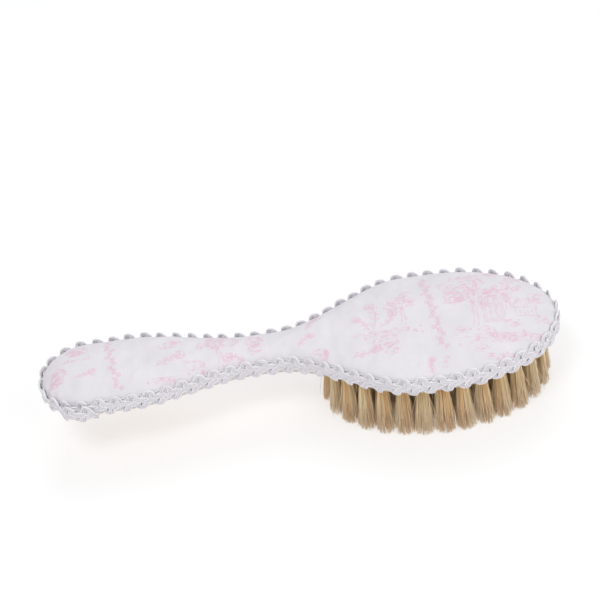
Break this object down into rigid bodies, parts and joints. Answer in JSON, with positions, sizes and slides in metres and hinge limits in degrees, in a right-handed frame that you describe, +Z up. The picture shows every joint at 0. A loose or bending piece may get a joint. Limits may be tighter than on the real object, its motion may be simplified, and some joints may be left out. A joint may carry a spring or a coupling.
{
  "type": "vanity hairbrush",
  "caption": "Oval-headed hairbrush with a narrow-necked handle, natural bristle tufts, a padded back covered in printed cotton, and a gimp braid round the whole edge.",
  "frame": {"origin": "on the surface the bristle tips stand on, under the middle of the brush's bounding box", "axes": "+X from the handle end to the tip of the head, +Z up from the bristle tips to the padded back, +Y to the left when looking along +X"},
  "size_m": [0.172, 0.0548, 0.0299],
  "materials": {
    "beech": "sealed, satin",
    "glue": "dried adhesive",
    "board": "matte",
    "wadding": "soft polyester wadding",
    "printed_cotton": "fine cotton with a soft sheen, pale pink line print",
    "gimp": "white rayon cord, silky",
    "bristle": "natural blond bristle",
    "anchor_wire": "flat wire"
  },
  "bodies": {
    "root": {"brush_block": "beech", "glue_film": "glue", "stiffening_board": "board", "wadding_pad": "wadding", "fabric_cover": "printed_cotton", "gimp_braid": "gimp", "bristle_tufts_ring_1": "bristle", "bristle_tufts_ring_2": "bristle", "bristle_tufts_ring_3": "bristle", "bristle_tufts_ring_4": "bristle", "wire_anchors_ring_1": "anchor_wire", "wire_anchors_ring_2": "anchor_wire", "wire_anchors_ring_3": "anchor_wire", "wire_anchors_ring_4": "anchor_wire"}
  },
  "joints": []
}
